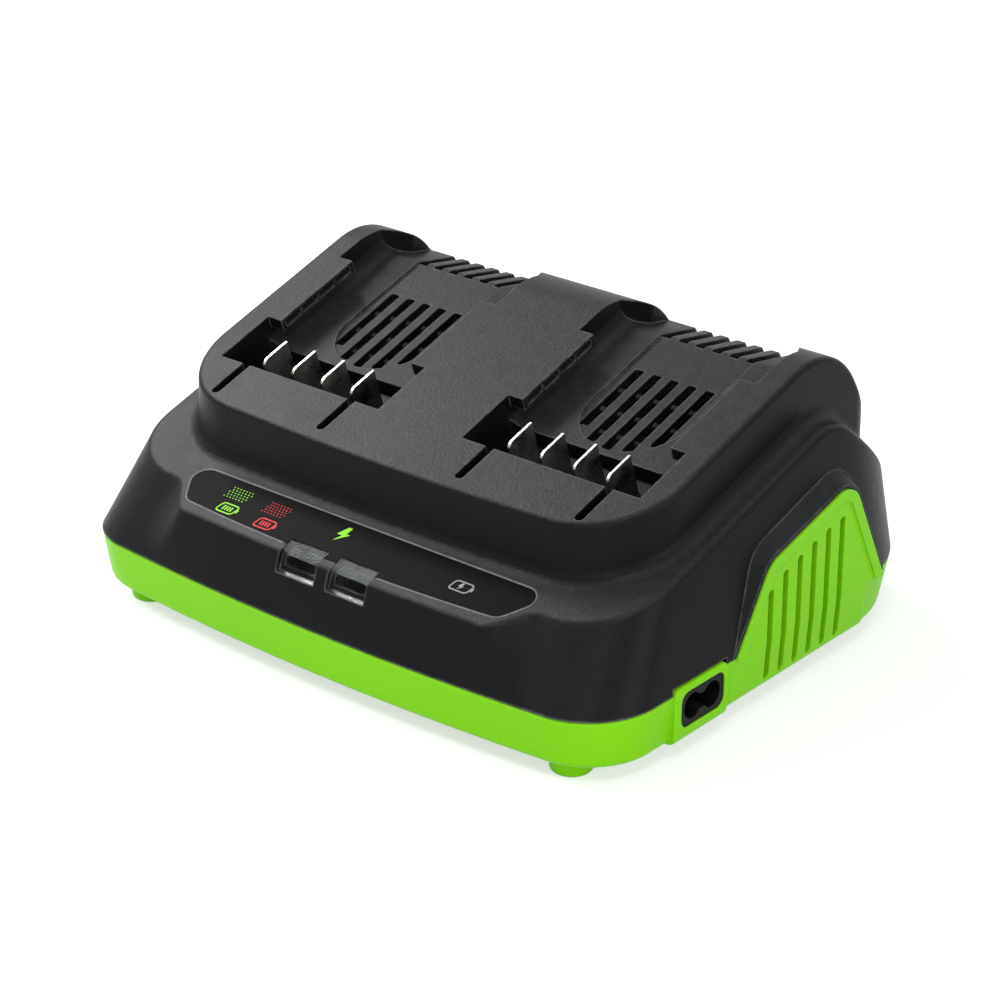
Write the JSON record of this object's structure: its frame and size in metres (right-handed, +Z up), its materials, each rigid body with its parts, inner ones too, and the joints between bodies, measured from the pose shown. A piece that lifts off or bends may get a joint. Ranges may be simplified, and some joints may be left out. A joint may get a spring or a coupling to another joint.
{
  "type": "power tool battery charger",
  "caption": "Slide-on battery charger: sloping charcoal top with rails and contact blades, green vented base, status panel and mains inlet.",
  "frame": {"origin": "centre of the footprint, on the surface the feet stand on", "axes": "+X along the length towards the inlet end, -Y towards the front panel, +Z up"},
  "size_m": [0.2046, 0.1691, 0.0893],
  "materials": {
    "charcoal_plastic": "fine-grained moulded plastic, charcoal",
    "lime_plastic": "fine-grained moulded plastic, lime green",
    "black_gloss": "glossy black label film",
    "clear_plastic": "clear moulded plastic",
    "tinned_copper": "tin-plated sheet copper",
    "black_plastic": "black glass-filled plastic",
    "plated_steel": "zinc-plated steel",
    "board_laminate": "green-masked circuit board",
    "led_epoxy": "milky resin",
    "ferrite": "sintered ferrite, matt",
    "winding_tape": "yellow winding tape",
    "capacitor_sleeve": "dark blue shrink sleeve",
    "film_case": "moulded ochre case",
    "enamelled_copper": "enamelled copper wire",
    "fuse_glass": "glass tube with metal caps",
    "plain_aluminium": "extruded aluminium",
    "red_insulation": "red wire insulation"
  },
  "bodies": {
    "housing": {"top_shell": "charcoal_plastic", "base_shell": "lime_plastic", "status_panel": "black_gloss", "left_lens": "clear_plastic", "right_lens": "clear_plastic", "left_blades": "tinned_copper", "right_blades": "tinned_copper", "left_contact_block": "black_plastic", "right_contact_block": "black_plastic", "inlet_body": "black_plastic", "inlet_pins": "plated_steel", "main_board": "board_laminate", "indicator_board": "board_laminate", "indicator_leds": "led_epoxy", "transformer_core": "ferrite", "transformer_winding": "winding_tape", "bulk_capacitors": "capacitor_sleeve", "choke": "enamelled_copper", "film_capacitor": "film_case", "fuse": "fuse_glass", "primary_heat_sink": "plain_aluminium", "secondary_heat_sink": "plain_aluminium", "power_transistors": "black_plastic", "fan_frame": "black_plastic", "case_screws": "plated_steel", "board_screws": "plated_steel", "left_leads": "red_insulation", "right_leads": "red_insulation"},
    "fan_rotor": {"fan_rotor": "black_plastic"}
  },
  "joints": [
    {"name": "fan_spin", "type": "hinge", "parent": "housing", "child": "fan_rotor", "pos_m": [-0.0865, 0.012, 0.029], "axis": [1, 0, 0], "continuous": true}
  ]
}
